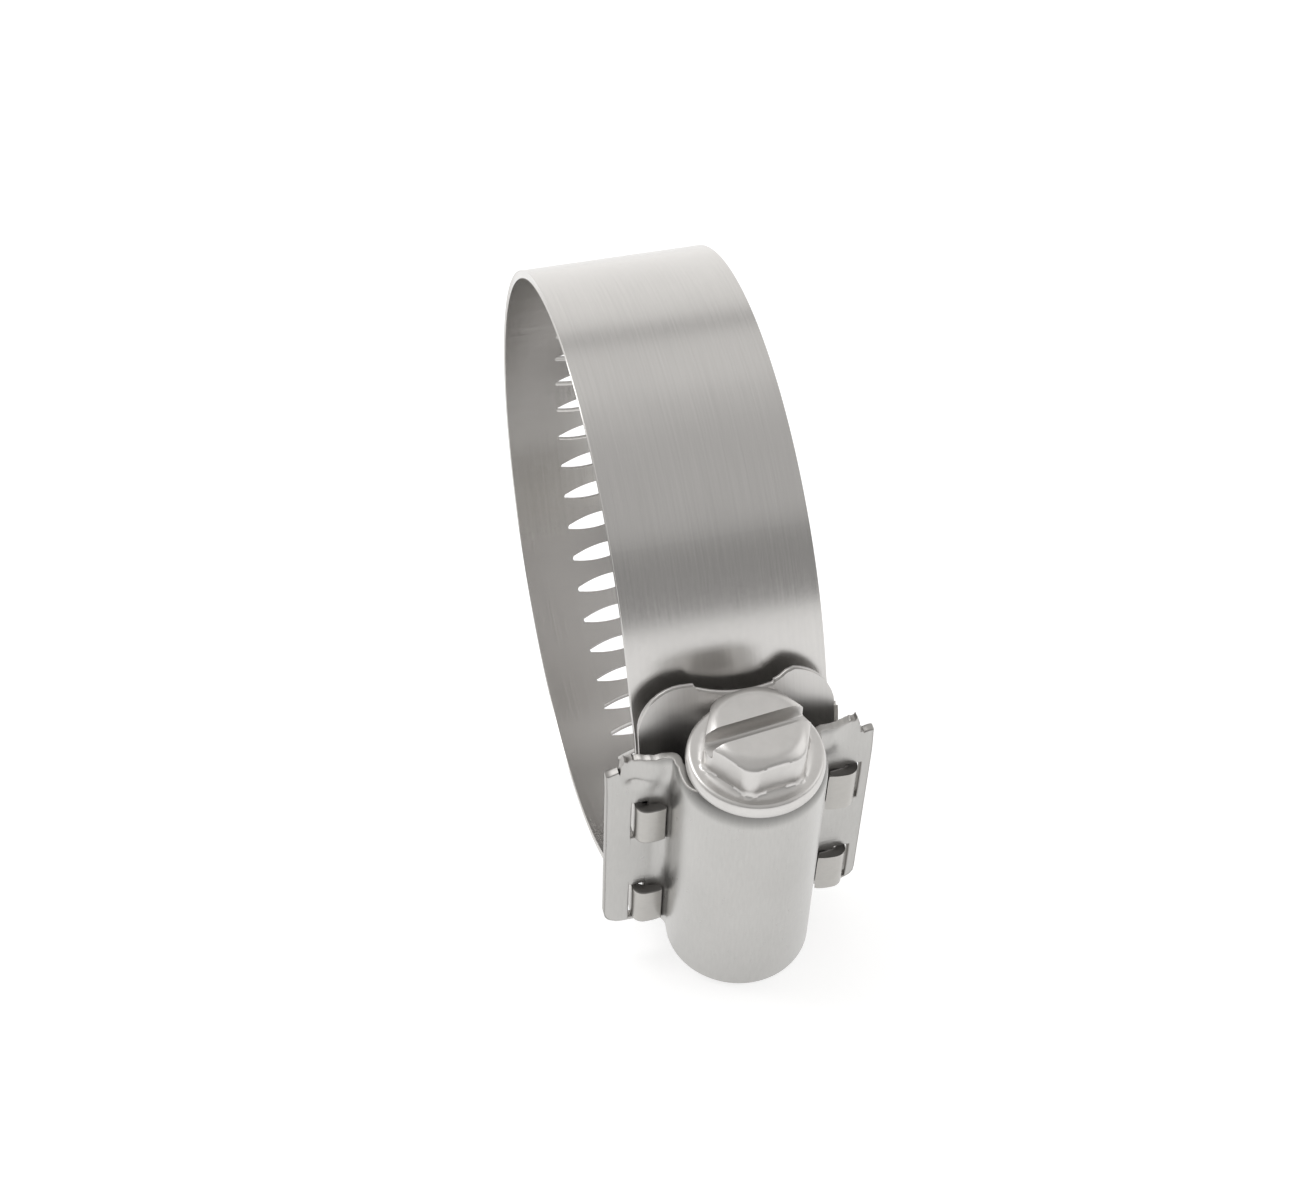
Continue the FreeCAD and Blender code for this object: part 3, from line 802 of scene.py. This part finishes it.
def build_head_and_core():
    """Turned core, collar and hexagon in one skin, before the driver slot is milled."""
    collar_top = COLLAR_S + COLLAR_THICKNESS
    rows = [
        (SCREW_FOOT_S, 2.1, 0),
        (SCREW_FOOT_S + 0.3, CORE_RADIUS, 0),
        (COLLAR_S - 0.25, CORE_RADIUS, 0),
        (COLLAR_S, CORE_RADIUS + 0.25, 0),
        (COLLAR_S, COLLAR_RADIUS - 0.10, 0),
        (COLLAR_S + 0.03, COLLAR_RADIUS - 0.03, 0),
        (COLLAR_S + 0.10, COLLAR_RADIUS + 0.02, 0),
        (COLLAR_S + 0.45, COLLAR_RADIUS + 0.05, 0),
        (collar_top - 0.30, COLLAR_RADIUS, 0),
        (collar_top - 0.12, COLLAR_RADIUS - 0.07, 0),
        (collar_top - 0.02, COLLAR_RADIUS - 0.18, 0),
        (collar_top, COLLAR_RADIUS - 0.34, 0),
        (collar_top - 0.03, COLLAR_RADIUS - 0.50, 0.15),
        (collar_top + 0.04, COLLAR_RADIUS - 0.68, 0.55),
        (collar_top + 0.20, COLLAR_RADIUS - 0.80, 0.9),
        (collar_top + 0.45, HEX_CORNER_RADIUS, 1),
        (HEAD_TOP_S - 0.62, HEX_CORNER_RADIUS, 1),
        (HEAD_TOP_S - 0.50, HEX_CORNER_RADIUS - 0.04, 1),
        (HEAD_TOP_S - 0.40, HEX_CORNER_RADIUS - 0.14, 1),
        (HEAD_TOP_S - 0.28, HEX_CORNER_RADIUS - 0.32, 1),
        (HEAD_TOP_S - 0.16, HEX_CORNER_RADIUS - 0.54, 1),
        (HEAD_TOP_S - 0.07, HEX_CORNER_RADIUS - 0.74, 1),
        (HEAD_TOP_S - 0.02, HEX_CORNER_RADIUS - 0.95, 1),
        (HEAD_TOP_S, HEX_CORNER_RADIUS - 1.2, 1),
    ]
    sides = 144
    points, faces = [], []
    for s, radius, hexness in rows:
        for k in range(sides):
            turn = 2 * math.pi * k / sides
            far = radius
            if hexness:
                softness = 10.0
                flat_side = hex_radius(turn)
                clipped = (far**-softness + flat_side**-softness) ** (-1 / softness)
                near = min(far, flat_side) * 0.75 + clipped * 0.25
                far = far + (near - far) * hexness
            points.append(on_screw(far, turn + math.radians(HEAD_TURN), s))
    for level in range(len(rows) - 1):
        for k in range(sides):
            after = (k + 1) % sides
            low, high = level * sides, (level + 1) * sides
            faces.append([low + k, low + after, high + after, high + k])
    faces.append(list(range(sides))[::-1])
    top = (len(rows) - 1) * sides
    faces.append(list(range(top, top + sides)))
    return make_object("worm_screw_head", points, faces, sharp_angle=38)


def driver_slot_cutter():
    """Block with a slightly rounded floor, which runs across two of the head's corners."""
    half = DRIVER_SLOT_WIDTH / 2
    floor = HEAD_TOP_S - DRIVER_SLOT_DEPTH
    section = [(half, HEAD_TOP_S + 1), (half, floor + 0.18)]
    section += [(half - 0.07, floor + 0.05), (half - 0.2, floor)]
    section += [(-a, s) for a, s in section[::-1]]
    turn = math.radians(HEAD_TURN)
    points = []
    for y in (-6.0, 6.0):
        for across, s in section:
            n = across * math.cos(turn) - y * math.sin(turn)
            points.append(in_frame(SCREW_N + n, across * math.sin(turn) + y * math.cos(turn), s))
    count = len(section)
    faces = [[k, (k + 1) % count, count + (k + 1) % count, count + k] for k in range(count)]
    faces += [list(range(count))[::-1], list(range(count, 2 * count))]
    return make_object("slot_cutter", points, faces)


def apply_modifiers(obj):
    """Leaves the object with its evaluated mesh and no modifiers."""
    graph = bpy.context.evaluated_depsgraph_get()
    mesh = bpy.data.meshes.new_from_object(obj.evaluated_get(graph))
    obj.modifiers.clear()
    obj.data = mesh


def build_thread():
    """Worm thread as one closed ribbon wound round the core."""
    steps_per_turn = 60
    steps = int(THREAD_TURNS * steps_per_turn)
    start_s = THREAD_CREST_S - int(THREAD_TURNS / 2) * SLOT_PITCH
    section = [(-0.62, 0.0), (-0.44, 0.86), (-0.33, 0.985), (-0.2, 1.0)]
    section += [(-a, h) for a, h in section[::-1]]
    inside = CORE_RADIUS - 0.15
    depth = THREAD_RADIUS - inside
    points, faces = [], []
    for k in range(steps + 1):
        turn = math.pi + 2 * math.pi * k / steps_per_turn
        s = start_s + SLOT_PITCH * k / steps_per_turn
        fade = smooth(k / 14) * smooth((steps - k) / 14)
        for along, height in section:
            points.append(on_screw(inside + depth * height * (0.1 + 0.9 * fade), turn, s + along))
    count = len(section)
    for k in range(steps):
        for j in range(count):
            other = (j + 1) % count
            a, b = k * count, (k + 1) * count
            faces.append([a + j, a + other, b + other, b + j][::-1])
    faces.append(list(range(count)))
    faces.append(list(range(steps * count, (steps + 1) * count))[::-1])
    return make_object("worm_screw_thread", points, faces, sharp_angle=40)


def build_screw():
    head = build_head_and_core()
    cutter = driver_slot_cutter()
    cut = head.modifiers.new("driver slot", "BOOLEAN")
    cut.operation = "DIFFERENCE"
    cut.object = cutter
    cut.solver = "EXACT"
    round_off = head.modifiers.new("slot edges", "BEVEL")
    round_off.width = 0.11 * MM
    round_off.segments = 3
    round_off.limit_method = "ANGLE"
    round_off.angle_limit = math.radians(48)
    apply_modifiers(head)
    bpy.data.objects.remove(cutter)
    head.data.set_sharp_from_angle(angle=math.radians(38))
    thread = build_thread()
    for piece in (head, thread):
        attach(piece, "worm_screw")
        piece.data.materials.append(SCREW_STEEL)
    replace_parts(head, "worm_screw")
    return [head, thread]


# ---------------------------------------------------------------- materials


def paint_shade_band(material, start, end, shade):
    """Painted shade: darkens the base colour along a sheet between two places on its second axis."""
    nodes, links = material.node_tree.nodes, material.node_tree.links
    shader = nodes["Principled BSDF"]
    colour = shader.inputs["Base Color"].links[0].from_socket
    coords = nodes.new("ShaderNodeTexCoord")
    parts = nodes.new("ShaderNodeSeparateXYZ")
    links.new(coords.outputs["UV"], parts.inputs["Vector"])
    share = nodes.new("ShaderNodeMapRange")
    share.interpolation_type = "SMOOTHSTEP"
    share.inputs["From Min"].default_value = start / 10.0
    share.inputs["From Max"].default_value = end / 10.0
    share.inputs["To Min"].default_value = 1.0
    share.inputs["To Max"].default_value = shade
    links.new(parts.outputs["Y"], share.inputs["Value"])
    grey = nodes.new("ShaderNodeCombineColor")
    for channel in ("Red", "Green", "Blue"):
        links.new(share.outputs["Result"], grey.inputs[channel])
    mix = nodes.new("ShaderNodeMix")
    mix.data_type = "RGBA"
    mix.blend_type = "MULTIPLY"
    mix.inputs["Factor"].default_value = 1.0
    links.new(colour, mix.inputs[6])
    links.new(grey.outputs["Color"], mix.inputs[7])
    links.new(mix.outputs[2], shader.inputs["Base Color"])


def relief(material, scale, strength, axis, start, end, feather):
    """Uneven surface between two places on one axis of a sheet, fading out over a feather."""
    nodes, links = material.node_tree.nodes, material.node_tree.links
    shader = nodes["Principled BSDF"]
    under = shader.inputs["Normal"].links[0].from_socket
    coords = nodes.new("ShaderNodeTexCoord")
    stretch = nodes.new("ShaderNodeMapping")
    stretch.inputs["Scale"].default_value = scale
    links.new(coords.outputs["UV"], stretch.inputs["Vector"])
    noise = nodes.new("ShaderNodeTexNoise")
    noise.inputs["Scale"].default_value = 1.0
    noise.inputs["Detail"].default_value = 3.0
    links.new(stretch.outputs["Vector"], noise.inputs["Vector"])
    parts = nodes.new("ShaderNodeSeparateXYZ")
    links.new(coords.outputs["UV"], parts.inputs["Vector"])
    height = noise.outputs["Fac"]
    for low, high in ((start, start + feather), (end, end - feather)):
        share = nodes.new("ShaderNodeMapRange")
        share.interpolation_type = "SMOOTHSTEP"
        share.inputs["From Min"].default_value = low / 10.0
        share.inputs["From Max"].default_value = high / 10.0
        links.new(parts.outputs[axis], share.inputs["Value"])
        product = nodes.new("ShaderNodeMath")
        product.operation = "MULTIPLY"
        links.new(height, product.inputs[0])
        links.new(share.outputs["Result"], product.inputs[1])
        height = product.outputs["Value"]
    bump = nodes.new("ShaderNodeBump")
    bump.inputs["Strength"].default_value = strength
    bump.inputs["Distance"].default_value = 0.05 * MM
    links.new(height, bump.inputs["Height"])
    links.new(under, bump.inputs["Normal"])
    links.new(bump.outputs["Normal"], shader.inputs["Normal"])


def dull_end(material, start, end, extra):
    """Rougher surface past a place on a sheet's first axis."""
    nodes, links = material.node_tree.nodes, material.node_tree.links
    shader = nodes["Principled BSDF"]
    before = shader.inputs["Roughness"].links[0].from_socket
    coords = nodes.new("ShaderNodeTexCoord")
    parts = nodes.new("ShaderNodeSeparateXYZ")
    links.new(coords.outputs["UV"], parts.inputs["Vector"])
    share = nodes.new("ShaderNodeMapRange")
    share.inputs["From Min"].default_value = start / 10.0
    share.inputs["From Max"].default_value = end / 10.0
    share.inputs["To Max"].default_value = extra
    links.new(parts.outputs["X"], share.inputs["Value"])
    total = nodes.new("ShaderNodeMath")
    total.operation = "ADD"
    links.new(before, total.inputs[0])
    links.new(share.outputs["Result"], total.inputs[1])
    links.new(total.outputs["Value"], shader.inputs["Roughness"])


def steel(name, colour, roughness, grain_scale, grain_strength, use_sheet_uv, stain):
    """Satin stainless steel: directional grain, soft stains and faint wear."""
    material = bpy.data.materials.new(name)
    material.use_nodes = True
    nodes, links = material.node_tree.nodes, material.node_tree.links
    shader = nodes["Principled BSDF"]
    shader.inputs["Metallic"].default_value = 1.0
    shader.inputs["Anisotropic"].default_value = 0.0
    coords = nodes.new("ShaderNodeTexCoord")
    source = coords.outputs["UV" if use_sheet_uv else "Object"]

    def mapped(scale):
        node = nodes.new("ShaderNodeMapping")
        node.inputs["Scale"].default_value = scale
        links.new(source, node.inputs["Vector"])
        return node.outputs["Vector"]

    def noise(vector, scale, detail, rough=0.6):
        node = nodes.new("ShaderNodeTexNoise")
        node.inputs["Scale"].default_value = scale
        node.inputs["Detail"].default_value = detail
        node.inputs["Roughness"].default_value = rough
        links.new(vector, node.inputs["Vector"])
        return node.outputs["Fac"]

    def spread(value, low, high):
        node = nodes.new("ShaderNodeMapRange")
        node.inputs["To Min"].default_value = low
        node.inputs["To Max"].default_value = high
        links.new(value, node.inputs["Value"])
        return node.outputs["Result"]

    unit = 1.0 if use_sheet_uv else 100.0
    grain = noise(mapped([unit * x for x in grain_scale]), 1.0, 3.0)
    cloud = noise(mapped([unit * 1.6] * 3), 1.0, 3.0, 0.5)
    speck = noise(mapped([unit * 22.0] * 3), 1.0, 2.0)

    tint = nodes.new("ShaderNodeMix")
    tint.data_type = "RGBA"
    tint.inputs[6].default_value = [c * (1 - stain) for c in colour] + [1]
    tint.inputs[7].default_value = [min(1.0, c * (1 + stain)) for c in colour] + [1]
    links.new(spread(cloud, 0.0, 1.0), tint.inputs["Factor"])
    fine = nodes.new("ShaderNodeMix")
    fine.data_type = "RGBA"
    fine.blend_type = "MULTIPLY"
    fine.inputs["Factor"].default_value = 1.0
    links.new(tint.outputs[2], fine.inputs[6])
    lines = nodes.new("ShaderNodeCombineColor")
    level = spread(grain, 0.90, 1.06)
    for channel in ("Red", "Green", "Blue"):
        links.new(level, lines.inputs[channel])
    links.new(lines.outputs["Color"], fine.inputs[7])
    links.new(fine.outputs[2], shader.inputs["Base Color"])

    mixed = nodes.new("ShaderNodeMath")
    mixed.operation = "ADD"
    links.new(spread(grain, roughness - 0.05, roughness + 0.05), mixed.inputs[0])
    links.new(spread(speck, -0.04, 0.04), mixed.inputs[1])
    links.new(mixed.outputs["Value"], shader.inputs["Roughness"])

    bump = nodes.new("ShaderNodeBump")
    bump.inputs["Strength"].default_value = grain_strength
    bump.inputs["Distance"].default_value = 0.02 * MM
    links.new(grain, bump.inputs["Height"])
    links.new(bump.outputs["Normal"], shader.inputs["Normal"])
    return material


BAND_STEEL = steel("band_steel", (0.61, 0.598, 0.585), 0.23, (1.2, 70.0, 1.0), 0.12, True, 0.05)
HOUSING_STEEL = steel("housing_steel", (0.515, 0.508, 0.494), 0.30, (60.0, 9.0, 9.0), 0.22, True, 0.07)
SADDLE_STEEL = steel("saddle_steel", (0.50, 0.487, 0.465), 0.33, (20.0, 30.0, 20.0), 0.30, True, 0.08)
HOUSING_EDGE = steel("housing_edge", (0.40, 0.39, 0.377), 0.40, (20.0, 30.0, 20.0), 0.30, True, 0.10)
# Tab end faces: partly the real duller sheared steel, partly painted shade that darkens them for the
# shadow they sit in.
SHEARED_AND_SHADED_STEEL = steel("sheared_and_shaded_steel", (0.22, 0.212, 0.205), 0.45, (20.0, 30.0, 20.0), 0.30, True, 0.10)
SCREW_STEEL = steel("screw_steel", (0.63, 0.617, 0.603), 0.33, (12.0, 12.0, 12.0), 0.25, False, 0.06)
# Painted shadow: darkens the barrel just below the screw's collar, where the collar's shadow falls.
paint_shade_band(HOUSING_STEEL, 7.5, 8.7, 0.42)
relief(HOUSING_STEEL, (7.0, 45.0, 1.0), 0.30, "Y", -9.6, 4.0, 6.0)
relief(BAND_STEEL, (16.0, 1.6, 1.0), 0.45, "X", 44.0, 68.0, 6.0)
dull_end(BAND_STEEL, TURN_LENGTH, TURN_LENGTH + 30.0, 0.15)


# ---------------------------------------------------------------- stage, light, camera

CAMERA_PLACE = (0.15685, -0.03144, 0.07269)
CAMERA_TURN = (64.502, 4.260, 76.828)
CAMERA_LENS = 68.03
CAMERA_SENSOR = 36.0
FLOOR_HALF_SIZE = 8.0
FLOOR_GLOW = 0.68
TENT_STRENGTH = 1.22


def build_camera():
    data = bpy.data.cameras.new("camera")
    data.lens = CAMERA_LENS
    data.sensor_width = CAMERA_SENSOR
    data.clip_start = 0.005
    data.clip_end = 20.0
    camera = bpy.data.objects.new("camera", data)
    camera.location = CAMERA_PLACE
    camera.rotation_euler = [math.radians(a) for a in CAMERA_TURN]
    bpy.context.scene.collection.objects.link(camera)
    bpy.context.scene.camera = camera


def build_floor():
    low = CAD_BOX[0].z
    far = FLOOR_HALF_SIZE
    corners = [(-far, -far, low), (far, -far, low), (far, far, low), (-far, far, low)]
    floor = make_object("floor", corners, [[0, 1, 2, 3]])
    material = bpy.data.materials.new("floor_white")
    material.use_nodes = True
    shader = material.node_tree.nodes["Principled BSDF"]
    shader.inputs["Base Color"].default_value = (0.5, 0.5, 0.5, 1)
    shader.inputs["Roughness"].default_value = 0.9
    shader.inputs["Emission Color"].default_value = (1, 1, 1, 1)
    shader.inputs["Emission Strength"].default_value = FLOOR_GLOW
    floor.data.materials.append(material)


def build_world():
    """White tent: bright low down in front and behind, dimmer overhead."""
    world = bpy.data.worlds.new("tent")
    bpy.context.scene.world = world
    world.use_nodes = True
    nodes, links = world.node_tree.nodes, world.node_tree.links
    coords = nodes.new("ShaderNodeTexCoord")
    parts = nodes.new("ShaderNodeSeparateXYZ")
    links.new(coords.outputs["Generated"], parts.inputs["Vector"])
    turn = nodes.new("ShaderNodeMath")
    turn.operation = "ARCTAN2"
    links.new(parts.outputs["Z"], turn.inputs[0])
    links.new(parts.outputs["X"], turn.inputs[1])
    share = nodes.new("ShaderNodeMapRange")
    share.inputs["From Min"].default_value = 0.0
    share.inputs["From Max"].default_value = math.pi
    links.new(turn.outputs["Value"], share.inputs["Value"])
    ramp = nodes.new("ShaderNodeValToRGB")
    ramp.color_ramp.interpolation = "EASE"
    stops = ((0, 0.30), (26, 0.29), (33, 0.50), (66, 0.50), (80, 0.58), (90, 0.70), (109, 0.70))
    stops += ((114, 0.42), (117, 0.42), (123, 0.80), (141, 0.88), (160, 0.94), (180, 0.98))
    bar = ramp.color_ramp.elements
    while len(bar) < len(stops):
        bar.new(0.5)
    for element, (degrees, level) in zip(bar, stops):
        element.position = degrees / 180.0
        element.color = (level, level * 0.99, level * 0.975, 1)
    links.new(share.outputs["Result"], ramp.inputs["Fac"])
    links.new(ramp.outputs["Color"], nodes["Background"].inputs["Color"])
    nodes["Background"].inputs["Strength"].default_value = TENT_STRENGTH


def area_light(name, place, target, size, power):
    data = bpy.data.lights.new(name, "AREA")
    data.size = size
    data.energy = power
    light = bpy.data.objects.new(name, data)
    light.location = place
    light.rotation_euler = (Vector(target) - Vector(place)).to_track_quat("-Z", "Y").to_euler()
    bpy.context.scene.collection.objects.link(light)


def build_lights():
    area_light("key", (-0.10, -0.35, 0.60), (0, 0, 0), 0.30, 0.9)
    area_light("fill", (0.20, 0.55, 0.35), (0, 0, 0), 0.40, 0.4)


build_camera()
build_floor()
build_world()
build_lights()
bpy.context.scene.view_settings.view_transform = "Standard"
build_band()
build_housing()
build_saddle()
build_screw()
